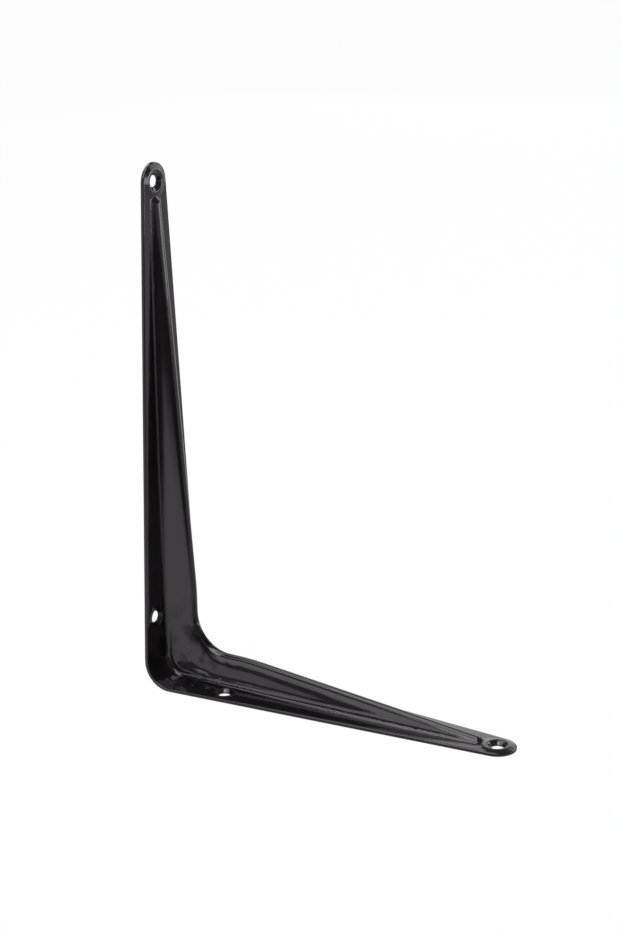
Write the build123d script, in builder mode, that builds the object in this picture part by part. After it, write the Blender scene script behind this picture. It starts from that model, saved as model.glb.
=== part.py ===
from build123d import *
import os
from math import cos, radians, sin, tan

# A shelf bracket pressed from one blank of steel sheet and bent to a right angle.
# The long leg stands against the wall plane X = 0. The short leg lies on the shelf plane Z = 0, along +X.
# The origin is the corner where those two outer planes meet, at the middle of the width.

# Legs, measured along their outer faces from the corner
wall_leg = 200.0
shelf_leg = 150.0
corner_width = 34.4
tip_width = 14.0

# Sheet, its right-angle bend, and the edges of the blank
sheet = 1.2
bend_radius = 10.3
shoulder_radius = 100.0
edge_break = 0.3

# Stiffening rib, with its heights taken from the outer planes
rib_height = 12.8
rib_bend_radius = 14.0
rib_level_run = 36.5
rib_knee_radius = 120.0
nose_height = 3.0
nose_setback = 15.0
groove_radius = 1.2
flank_radius = 20.0
flank_draft = 20.0
rib_draft = 7.0
root_radius = 2.2

# Screw holes: one in each round tip, and one in a flange of each leg near the bend
hole_diameter = 4.4
hole_land = 0.5
sink_angle = 100.0
lip_angle = 130.0
lip_width = 0.7
tip_seat_diameter = 13.0
heel_seat_diameter = 9.8
seat_crown = 1.0
wall_heel_hole = 26.4
shelf_heel_hole = 31.3

# Sizes that follow from those above
tip_radius = tip_width / 2
hole_radius = hole_diameter / 2
seat_top = sheet + seat_crown
sink_radius = hole_radius + (seat_top - hole_land) * tan(radians(sink_angle / 2))
lip_radius = sink_radius + lip_width
crest_radius = groove_radius + sheet
upper_draft = radians(flank_draft)
lower_draft = radians(rib_draft)
wall_top_x = crest_radius * cos(upper_draft) + flank_radius * (cos(lower_draft) - cos(upper_draft))
wall_top_y = crest_radius * (sin(upper_draft) - 1) - flank_radius * (sin(upper_draft) - sin(lower_draft))
root_half_width = wall_top_x + (rib_height - sheet + wall_top_y) * tan(lower_draft)
rib_depth = rib_height + bend_radius
form_depth = 2 * rib_depth
form_margin = 4 * sheet

# Each leg has a plane in its outer face: x runs along the leg from the corner, z points into the angle
wall_plane = Plane(origin=(0, 0, 0), x_dir=(0, 0, 1), z_dir=(1, 0, 0))
shelf_plane = Plane.XY


def flange_middle(length, distance):
    """Distance from the rib's middle line to the middle of a flange, at a distance along a leg."""
    taper = (corner_width - tip_width) / 2 / (length - tip_radius - bend_radius)
    edge = corner_width / 2 - (distance - bend_radius) * taper
    return (root_half_width + edge) / 2


# Half of the rib's section, drawn from the crest down: a round crest, a bowed flank and a straight wall
with BuildSketch() as half_section:
    with BuildLine():
        crown = CenterArc((0, -crest_radius), crest_radius, 90, flank_draft - 90)
        flank = JernArc(crown @ 1, crown % 1, flank_radius, rib_draft - flank_draft)
        Polyline(
            flank @ 1,
            (wall_top_x + (rib_depth + wall_top_y) * tan(lower_draft), -rib_depth),
            (0, -rib_depth),
            (0, 0),
        )
    make_face()

# The rib as a solid: its section carried round the bend along its crest, with a round nose at each end
with BuildPart() as rib:
    with BuildLine(Plane.XZ) as crest:
        FilletPolyline(
            (nose_height, wall_leg - nose_setback),
            (rib_height, rib_level_run),
            (rib_height, rib_height),
            (rib_level_run, rib_height),
            (shelf_leg - nose_setback, nose_height),
            radius=[rib_knee_radius, rib_bend_radius, rib_knee_radius],
        )
    noses = [
        Plane(origin=crest.line @ end, x_dir=(0, side, 0), z_dir=(crest.line % end) * side)
        for end, side in ((0, 1), (1, -1))
    ]
    with BuildSketch(noses[0]):
        add(half_section.sketch)
        mirror(about=Plane.YZ)
    sweep(path=crest.line)
    for nose in noses:
        with BuildSketch(nose):
            add(half_section.sketch)
        revolve(axis=Axis(nose.origin, nose.y_dir), revolution_arc=180)

# The form that the sheet is pressed over: its front is the front of the bracket
with BuildPart() as form:
    with BuildSketch(Plane.XZ):
        with BuildLine():
            front = FilletPolyline(
                (sheet, wall_leg + form_margin),
                (sheet, sheet),
                (shelf_leg + form_margin, sheet),
                radius=bend_radius - sheet,
            )
            Polyline(
                front @ 1,
                (shelf_leg + form_margin, -form_depth),
                (-form_depth, -form_depth),
                (-form_depth, wall_leg + form_margin),
                front @ 0,
            )
        make_face()
    extrude(amount=corner_width / 2 + form_margin, both=True)
    add(rib.part)
    fillet(form.edges(Select.NEW), radius=root_radius)

# The outline of the blank, seen square to each leg: straight tapers to a round tip
with BuildPart() as blank:
    for plane, length, mode in (
        (wall_plane, wall_leg, Mode.ADD),
        (shelf_plane, shelf_leg, Mode.INTERSECT),
    ):
        with BuildSketch(plane) as outline:
            with Locations((length - tip_radius, 0)):
                Circle(tip_radius)
            Rectangle(2 * bend_radius, corner_width)
            make_hull()
            shoulders = outline.vertices().group_by(Axis.X)[1]
            fillet(shoulders, radius=shoulder_radius)
        extrude(amount=max(wall_leg, shelf_leg), mode=mode)


def seat(diameter):
    """The low dome that is raised round a screw hole when its countersink is struck."""
    rim = diameter / 2
    with BuildPart() as dome:
        with BuildSketch(Plane.XZ):
            with BuildLine():
                brow = TangentArc((0, seat_top), (rim, sheet), tangent=(1, 0))
                Polyline(brow @ 1, (rim, sheet / 2), (0, sheet / 2), brow @ 0)
            make_face()
        revolve(axis=Axis.Z)
    return dome.part


tip_seat = seat(tip_seat_diameter)
heel_seat = seat(heel_seat_diameter)

# The bracket: one thickness of sheet off the form's front, cut to the outline, raised and sunk for screws.
# The edges that face into the angle and the lips of the countersinks are broken. The back edges stay sharp.
core = offset(form.part, amount=-sheet)
with BuildPart() as bracket:
    add(form.part)
    add(blank.part, mode=Mode.INTERSECT)
    front_edges = bracket.edges(Select.NEW).filter_by(
        lambda edge: min(edge.center().X, edge.center().Z) > sheet - edge_break
    )
    chamfer(front_edges, length=edge_break)
    add(core, mode=Mode.SUBTRACT)
    for plane, length, heel, near_side in (
        (wall_plane, wall_leg, wall_heel_hole, 1),
        (shelf_plane, shelf_leg, shelf_heel_hole, -1),
    ):
        for place, raised in (
            (Pos(length - tip_radius, 0), tip_seat),
            (Pos(heel, near_side * flange_middle(length, heel)), heel_seat),
        ):
            with Locations(plane * place):
                add(raised)
            with Locations(plane.offset(seat_top) * place):
                CounterSinkHole(hole_radius, sink_radius, counter_sink_angle=sink_angle)
                CounterSinkHole(hole_radius, lip_radius, counter_sink_angle=lip_angle)

bracket.part.label = "bracket"
os.makedirs("parts", exist_ok=True)
export_step(bracket.part, "parts/bracket.step")
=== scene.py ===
from math import copysign, cos, pi, radians, sin

import bmesh
import bpy
from mathutils import Matrix, Vector


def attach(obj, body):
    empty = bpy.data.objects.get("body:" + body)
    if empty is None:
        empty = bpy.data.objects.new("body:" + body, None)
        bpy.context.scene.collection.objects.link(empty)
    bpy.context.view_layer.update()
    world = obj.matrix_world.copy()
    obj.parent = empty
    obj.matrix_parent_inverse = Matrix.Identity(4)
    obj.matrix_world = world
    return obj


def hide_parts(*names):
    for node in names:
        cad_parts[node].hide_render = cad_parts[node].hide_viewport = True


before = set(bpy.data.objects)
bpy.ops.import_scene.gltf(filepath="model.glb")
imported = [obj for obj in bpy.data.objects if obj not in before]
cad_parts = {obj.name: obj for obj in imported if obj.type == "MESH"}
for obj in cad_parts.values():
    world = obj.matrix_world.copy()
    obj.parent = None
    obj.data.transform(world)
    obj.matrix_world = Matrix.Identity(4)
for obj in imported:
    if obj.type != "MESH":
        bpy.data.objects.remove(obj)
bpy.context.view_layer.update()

scene = bpy.context.scene
scene.view_settings.view_transform = "Standard"

# The camera: the photograph's viewing angle, with its distances in metres
image_width = 621
image_height = 931
focal_pixels = 2400.0
camera_azimuth = radians(32.863)
camera_elevation = radians(18.052)
camera_roll = radians(-1.233)
camera_distance = 0.869744
camera_target = Vector((0.065978, 0.0, 0.094493))
sensor_size = 36.0

# The studio: a floor of white paper, a dim room, and soft boxes.
# What is seen of the floor is plain white in a share, floor_white, and lit paper in the rest.
# A box has a bearing from the front towards the right, a height angle, a distance, a size and a brightness.
floor_half = 30.0
floor_white = 0.97
paper_white = 0.9
room_level = 0.2
soft_boxes = {
    "key_box": (radians(6.0), radians(49.0), 1.2, (0.85, 0.60), 4.0),
    "overhead_box": (radians(-95.0), radians(69.0), 1.1, (1.00, 0.65), 2.5),
    "front_panel": (radians(-25.0), radians(21.5), 1.2, (0.36, 0.54), 1.6),
    "back_panel": (radians(-160.0), radians(17.0), 1.3, (0.65, 0.75), 1.1),
    "right_panel": (radians(145.0), radians(12.0), 1.3, (0.70, 0.60), 1.4),
    "low_panel": (radians(120.0), radians(5.0), 0.9, (0.50, 0.14), 3.0),
    "top_box": (radians(20.0), radians(76.0), 1.1, (0.40, 0.30), 6.0),
    "rear_box": (radians(168.0), radians(35.0), 1.2, (0.50, 0.36), 3.0),
}

# Two cards on the floor that only reflections see, with their corners as places on the floor.
# They are painted shade: dark sheets that darken the white floor where reflections meet it.
# The grey one is black in a share and clear in the rest. The black one fades in along a bearing.
shade_card_black = 0.05
grey_lift = 0.0003
grey_shade_share = 0.45
grey_corners = ((0, 0), (1.9, -2.3), (2.9, 0.6), (0.8, 2.9))
black_lift = 0.0006
black_corners = ((0, 0), (-0.10, -0.45), (0.30, -1.5), (1.0, -3.0), (1.0, -0.1))
black_bearing = radians(60.0)
black_start = 0.10
black_fade = 0.20

# The finer bracket: points nearer than this are joined, and edges above this angle stay sharp
join_distance = 1e-6
sharp_angle = radians(47.5)

# Sizes of the solid that the finer bracket needs, in metres
wall_leg = 0.200
shelf_leg = 0.150
sheet = 0.0012
bend_radius = 0.0103
rib_height = 0.0128
rib_level_run = 0.0365
nose_height = 0.0030
nose_setback = 0.015

# The rib's walls, which lean out more than the solid's and flare more at the foot than a plain fillet.
# The foot's height is a share of the rib's height, with a gain in the bend.
# Only points within a reach of the middle line are on the walls.
wall_lean = radians(2.0)
foot_share = 0.42
foot_gain = 0.9
foot_reach = 0.0052
foot_spread = 0.7
foot_cuts = 26

# The flanges in the bend, which rise towards the rib.
# Across a flange the rise is full as far as corner_start from the middle line, and falls away over a width.
# Along a leg it is full as far as corner_full from the corner, and falls away over a run.
corner_rise = 0.0013
corner_start = 0.0040
corner_width = 0.0090
corner_full = 0.010
corner_run = 0.014
corner_cuts = 9

# The unevenness of the paint, as sizes and depths: fine orange peel, long waves, and wrinkles by the bend.
# The wrinkles come from the pressing. They are strongest at a place on the rib and end at a reach from it.
noise_detail = 0.5
peel_size = 0.0016
peel_depth = 8e-6
wave_size = 0.014
wave_depth = 1.6e-4
wrinkle_size = 0.0048
wrinkle_depth = 1e-3
wrinkle_place = (0.016, 0.0, 0.016)
wrinkle_reach = 0.024

# The look of the paint: its darkest and lightest shades, its tint, its roughness and its gloss.
# Among the wrinkles are dull marks, which come in over a range of the same noise.
paint_colours = ((0.004, 0.0036, 0.004, 1), (0.008, 0.0074, 0.008, 1))
paint_tint = (1.0, 0.92, 1.0, 1)
paint_roughness = (0.07, 0.12)
paint_gloss = 0.58
dull_gloss = 0.0
dull_range = (0.42, 0.56)


def add_object(name, data):
    piece = bpy.data.objects.new(name, data)
    scene.collection.objects.link(piece)
    return piece


def flat_mesh(name, corners, material):
    """A level polygon with its corners as places on the floor."""
    mesh = bpy.data.meshes.new(name)
    mesh.from_pydata([(x, y, 0) for x, y in corners], [], [range(len(corners))])
    mesh.materials.append(material)
    return mesh


def bearing(angle):
    """The level direction at an angle from the front, -Y, towards the right, +X."""
    return Vector((sin(angle), -cos(angle), 0))


def grey(level):
    return (level, level, level, 1)


def new_material(name):
    """An empty material, its nodes and links, and the socket that takes its surface."""
    material = bpy.data.materials.new(name)
    material.use_nodes = True
    nodes = material.node_tree.nodes
    nodes.clear()
    surface = nodes.new("ShaderNodeOutputMaterial").inputs["Surface"]
    return material, nodes, material.node_tree.links, surface


def feed(links, value, socket):
    """Gives a socket a number, or the output of another node."""
    if isinstance(value, (int, float)):
        socket.default_value = value
    else:
        links.new(value, socket)


def math_node(nodes, links, operation, first, second):
    """A math node fed by two outputs or numbers; returns its output."""
    node = nodes.new("ShaderNodeMath")
    node.operation = operation
    feed(links, first, node.inputs[0])
    feed(links, second, node.inputs[1])
    return node.outputs[0]


def map_range(nodes, links, value, old_range, new_range, interpolation="LINEAR"):
    """Carries an output's values from one range to another; returns the new output."""
    node = nodes.new("ShaderNodeMapRange")
    node.interpolation_type = interpolation
    limits = (*old_range, *new_range)
    for name, limit in zip(("From Min", "From Max", "To Min", "To Max"), limits):
        node.inputs[name].default_value = limit
    links.new(value, node.inputs["Value"])
    return node.outputs["Result"]


def mix_shaders(nodes, links, share, first, second):
    """Two shaders mixed by the second one's share, an output or a number; returns the mix's output."""
    mix = nodes.new("ShaderNodeMixShader")
    feed(links, share, mix.inputs[0])
    links.new(first.outputs[0], mix.inputs[1])
    links.new(second.outputs[0], mix.inputs[2])
    return mix.outputs[0]


def noise(nodes, links, place, size):
    """Soft random patches of about a size; returns the output, which goes from nothing to one."""
    node = nodes.new("ShaderNodeTexNoise")
    node.inputs["Scale"].default_value = 1 / size
    node.inputs["Detail"].default_value = noise_detail
    links.new(place, node.inputs["Vector"])
    return node.outputs["Fac"]


def add_camera():
    flat = bearing(camera_azimuth)
    back = flat * cos(camera_elevation) + Vector((0, 0, sin(camera_elevation)))
    level_right = Vector((cos(camera_azimuth), sin(camera_azimuth), 0))
    level_up = back.cross(level_right)
    right = level_right * cos(camera_roll) + level_up * sin(camera_roll)
    up = level_up * cos(camera_roll) - level_right * sin(camera_roll)
    data = bpy.data.cameras.new("camera")
    data.sensor_width = sensor_size
    data.lens = focal_pixels / max(image_width, image_height) * sensor_size
    camera = add_object("camera", data)
    turn = Matrix((right, up, back)).transposed().to_4x4()
    camera.matrix_world = Matrix.Translation(camera_target + back * camera_distance) @ turn
    scene.camera = camera


def add_floor():
    """White paper, seen almost at full white directly and in reflections, so that a faint shadow stays."""
    material, nodes, links, surface = new_material("white_floor")
    paper = nodes.new("ShaderNodeBsdfDiffuse")
    paper.inputs["Color"].default_value = grey(paper_white)
    white = nodes.new("ShaderNodeEmission")
    white.inputs["Color"].default_value = grey(1)
    white.inputs["Strength"].default_value = 1.0
    path = nodes.new("ShaderNodeLightPath")
    seen = math_node(nodes, links, "MAXIMUM", path.outputs["Is Camera Ray"], path.outputs["Is Glossy Ray"])
    seen = math_node(nodes, links, "MAXIMUM", seen, path.outputs["Is Transmission Ray"])
    share = math_node(nodes, links, "MULTIPLY", seen, floor_white)
    links.new(mix_shaders(nodes, links, share, paper, white), surface)
    half = floor_half
    corners = ((-half, -half), (half, -half), (half, half), (-half, half))
    mesh = flat_mesh("floor", corners, material)
    add_object("floor", mesh)


def card_material(name, share):
    """Painted shade: black in a share, given as a number or a function that returns an output, and clear in
    the rest.
    """
    material, nodes, links, surface = new_material(name)
    clear = nodes.new("ShaderNodeBsdfTransparent")
    black = nodes.new("ShaderNodeBsdfDiffuse")
    black.inputs["Color"].default_value = grey(shade_card_black)
    if callable(share):
        share = share(nodes, links)
    links.new(mix_shaders(nodes, links, share, clear, black), surface)
    return material


def shade_fade_in(nodes, links):
    """The black card's share of painted shade, rising from nothing to one along its bearing; returns the
    output.
    """
    place = nodes.new("ShaderNodeTexCoord")
    along = nodes.new("ShaderNodeVectorMath")
    along.operation = "DOT_PRODUCT"
    along.inputs[1].default_value = bearing(black_bearing)
    links.new(place.outputs["Object"], along.inputs[0])
    fade_range = (black_start, black_start + black_fade)
    return map_range(nodes, links, along.outputs["Value"], fade_range, (0, 1), "SMOOTHSTEP")


def add_card(name, share, lift, corners):
    """A card of painted shade just above the floor."""
    card = add_object(name, flat_mesh(name, corners, card_material(name, share)))
    card.location.z = lift
    card.visible_camera = False
    card.visible_diffuse = False
    card.visible_transmission = False
    card.visible_shadow = False


def add_soft_box(name, angle, height, distance, size, level):
    """A rectangular soft box that faces the bracket, with its brightness given as seen in a mirror."""
    place = (bearing(angle) * cos(height) + Vector((0, 0, sin(height)))) * distance
    data = bpy.data.lights.new(name, "AREA")
    data.shape = "RECTANGLE"
    data.size, data.size_y = size
    data.energy = level * pi * size[0] * size[1]
    lamp = add_object(name, data)
    lamp.location = place
    lamp.rotation_euler = (-place).to_track_quat("-Z", "Y").to_euler()
    lamp.visible_camera = False


def add_world():
    world = bpy.data.worlds.new("studio")
    world.use_nodes = True
    background = world.node_tree.nodes["Background"]
    background.inputs["Color"].default_value = grey(1)
    background.inputs["Strength"].default_value = room_level
    scene.world = world


def paint_shade(nodes, links, waves):
    """Black that is a little lighter in some places than in others; returns the output."""
    shade = nodes.new("ShaderNodeValToRGB")
    for stop, colour in zip(shade.color_ramp.elements, paint_colours):
        stop.color = colour
    links.new(waves, shade.inputs["Fac"])
    return shade.outputs["Color"]


def wrinkled_patch(nodes, links, place):
    """One at the middle of the wrinkles, falling to nothing at their reach; returns the output."""
    near_bend = nodes.new("ShaderNodeMapping")
    near_bend.vector_type = "TEXTURE"
    near_bend.inputs["Location"].default_value = wrinkle_place
    near_bend.inputs["Scale"].default_value = (wrinkle_reach, wrinkle_reach, wrinkle_reach)
    links.new(place, near_bend.inputs["Vector"])
    patch = nodes.new("ShaderNodeTexGradient")
    patch.gradient_type = "QUADRATIC_SPHERE"
    links.new(near_bend.outputs["Vector"], patch.inputs["Vector"])
    return patch.outputs["Fac"]


def paint_normal(nodes, links, peel, waves, marks, patch):
    """The unevenness of the film and of the steel under it, with heights in metres; returns the output."""
    peel = math_node(nodes, links, "MULTIPLY", peel, peel_depth)
    waves = math_node(nodes, links, "MULTIPLY", waves, wave_depth)
    wrinkles = math_node(nodes, links, "MULTIPLY", marks, wrinkle_depth)
    wrinkles = math_node(nodes, links, "MULTIPLY", wrinkles, patch)
    height = math_node(nodes, links, "ADD", math_node(nodes, links, "ADD", peel, waves), wrinkles)
    bump = nodes.new("ShaderNodeBump")
    bump.inputs["Distance"].default_value = 1.0
    links.new(height, bump.inputs["Height"])
    return bump.outputs["Normal"]


def gloss_level(nodes, links, marks, patch):
    """The paint's gloss, which is less in the dull marks among the wrinkles; returns the output."""
    change = map_range(nodes, links, marks, dull_range, (0, dull_gloss - paint_gloss), "SMOOTHSTEP")
    change = math_node(nodes, links, "MULTIPLY", change, patch)
    return math_node(nodes, links, "ADD", change, paint_gloss)


def black_paint():
    """Gloss black paint over pressed steel."""
    material, nodes, links, surface = new_material("gloss_black_paint")
    paint = nodes.new("ShaderNodeBsdfPrincipled")
    paint.inputs["Specular Tint"].default_value = paint_tint
    place = nodes.new("ShaderNodeTexCoord").outputs["Object"]
    peel = noise(nodes, links, place, peel_size)
    waves = noise(nodes, links, place, wave_size)
    marks = noise(nodes, links, place, wrinkle_size)
    patch = wrinkled_patch(nodes, links, place)
    links.new(paint_shade(nodes, links, waves), paint.inputs["Base Color"])
    links.new(paint_normal(nodes, links, peel, waves, marks, patch), paint.inputs["Normal"])
    links.new(map_range(nodes, links, marks, (0, 1), paint_roughness), paint.inputs["Roughness"])
    links.new(gloss_level(nodes, links, marks, patch), paint.inputs["Specular IOR Level"])
    links.new(paint.outputs[0], surface)
    return material


def rise(place):
    """A point's distance from the front of the sheet, and the direction in which it grows."""
    if max(place.x, place.z) < bend_radius:
        to_middle = Vector((bend_radius - place.x, 0, bend_radius - place.z))
        return bend_radius - sheet - to_middle.length, to_middle.normalized()
    if place.x < place.z:
        return place.x - sheet, Vector((1, 0, 0))
    return place.z - sheet, Vector((0, 0, 1))


def corner_share(place):
    """One in the bend, falling to nothing along the legs."""
    gone = min(max((max(place.x, place.z) - corner_full) / corner_run, 0), 1)
    return 1 - gone * gone * (3 - 2 * gone)


def foot_height(place):
    """How far up the rib's wall the foot goes: more in the bend, and less where the rib is lower."""
    length, along = (wall_leg, place.z) if place.x < place.z else (shelf_leg, place.x)
    gone = max(along - rib_level_run, 0) / (length - nose_setback - rib_level_run)
    local_height = rib_height - (rib_height - nose_height) * min(gone, 1) - sheet
    return foot_share * local_height * (1 + foot_gain * corner_share(place))


def cut(form, place, direction):
    """Cuts a row of points into a form, in a plane through a place and square to a direction."""
    parts = form.verts[:] + form.edges[:] + form.faces[:]
    bmesh.ops.bisect_plane(form, geom=parts, plane_co=place, plane_no=direction)


def cut_rows(form):
    """Cuts rows into the foot of the rib's walls and into the flanges beside the rib."""
    for step in range(1, foot_cuts + 1):
        height = sheet + foot_share * (1 + foot_gain) * (rib_height - sheet) * step / foot_cuts
        for direction in (Vector((1, 0, 0)), Vector((0, 0, 1))):
            cut(form, direction * height, direction)
    for step in range(corner_cuts):
        for direction in (Vector((0, 1, 0)), Vector((0, -1, 0))):
            cut(form, direction * (corner_start + corner_width * step / corner_cuts), direction)


def joined_form(node):
    """The node's own mesh with its seams joined, and smooth but for its sharp edges."""
    form = bmesh.new()
    form.from_mesh(node.data)
    bmesh.ops.remove_doubles(form, verts=form.verts, dist=join_distance)
    for face in form.faces:
        face.smooth = True
    for edge in form.edges:
        edge.smooth = edge.calc_face_angle() < sharp_angle
    return form


def smooth_normals(mesh):
    """The normals at the corners of a mesh's faces, with large faces counting for more than small ones."""
    piece = add_object("smooth_bracket", mesh)
    weighted = piece.modifiers.new("weighted_normals", "WEIGHTED_NORMAL")
    weighted.keep_sharp = True
    smoothed = piece.evaluated_get(bpy.context.evaluated_depsgraph_get())
    normals = [corner.vector.copy() for corner in smoothed.data.corner_normals]
    bpy.data.objects.remove(piece)
    return normals


def face_corners(form):
    return [corner for face in form.faces for corner in face.loops]


def cut_with_normals(form, normals):
    """Cuts the rows, and returns the normals with those at the new points taken from the cut faces."""
    carried = form.loops.layers.float_vector.new("carried_normal")
    for corner, normal in zip(face_corners(form), normals):
        corner[carried] = normal
    cut_rows(form)
    normals = [corner[carried].normalized() for corner in face_corners(form)]
    form.loops.layers.float_vector.remove(carried)
    return normals


def wall_change(place, normal, height, inward, outward):
    """How a point of the rib's walls moves and its normal tilts: the wall leans and its foot flares."""
    move = Vector((0, 0, 0))
    tilt = Vector((0, 0, 0))
    if height <= 0 or abs(place.y) >= foot_reach:
        return move, tilt
    foot = foot_height(place)
    lean = max(normal.dot(outward), 0)
    move += outward * lean * wall_lean * (foot - height)
    tilt += inward * lean**2 * wall_lean
    if height < foot:
        # The flare, level * left**3, is widest at a quarter of the foot and stays that wide below it
        level = max(height, foot / 4)
        left = 1 - level / foot
        move += outward * lean * foot_spread * level * left**3
        tilt -= inward * lean**2 * foot_spread * left**2 * (1 - 4 * level / foot)
    return move, tilt


def flange_change(place, normal, height, inward, outward):
    """How a point of the flanges moves and its normal tilts, where they rise towards the rib in the bend."""
    move = Vector((0, 0, 0))
    tilt = Vector((0, 0, 0))
    left = 1 - max(abs(place.y) - corner_start, 0) / corner_width
    if left <= 0 or height >= foot_height(place):
        return move, tilt
    facing = max(normal.dot(inward), 0)
    lift = corner_rise * corner_share(place)
    move += inward * facing * lift * left**3
    if abs(place.y) > corner_start:
        tilt += outward * facing**2 * lift * 3 * left**2 / corner_width
    return move, tilt


def soften(mesh, normals):
    """Moves the points of the rib's walls and of the flanges beside it, and tilts the normals to suit."""
    moves = [Vector((0, 0, 0)) for vertex in mesh.vertices]
    for loop in mesh.loops:
        place = mesh.vertices[loop.vertex_index].co
        normal = normals[loop.index]
        height, inward = rise(place)
        outward = Vector((0, copysign(1, place.y), 0))
        wall_move, wall_tilt = wall_change(place, normal, height, inward, outward)
        flange_move, flange_tilt = flange_change(place, normal, height, inward, outward)
        moves[loop.vertex_index] = wall_move + flange_move
        tilt = wall_tilt + flange_tilt
        normals[loop.index] = (normal + tilt).normalized()
    for vertex, move in zip(mesh.vertices, moves):
        vertex.co += move
    mesh.normals_split_custom_set(normals)


def add_fine_bracket(node):
    """The node's mesh, joined so that reflections run smoothly, and softened beside the rib."""
    form = joined_form(node)
    mesh = bpy.data.meshes.new("fine_bracket")
    form.to_mesh(mesh)
    normals = cut_with_normals(form, smooth_normals(mesh))
    form.to_mesh(mesh)
    form.free()
    soften(mesh, normals)
    mesh.materials.clear()
    mesh.materials.append(black_paint())
    piece = add_object("fine_bracket", mesh)
    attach(piece, "root")
    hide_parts("bracket")


add_camera()
add_floor()
# Two cards of painted shade, which darken the floor where reflections see it
add_card("painted_shade_black_card", shade_fade_in, black_lift, black_corners)
add_card("painted_shade_grey_card", grey_shade_share, grey_lift, grey_corners)
for name, values in soft_boxes.items():
    add_soft_box(name, *values)
add_world()
add_fine_bracket(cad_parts["bracket"])
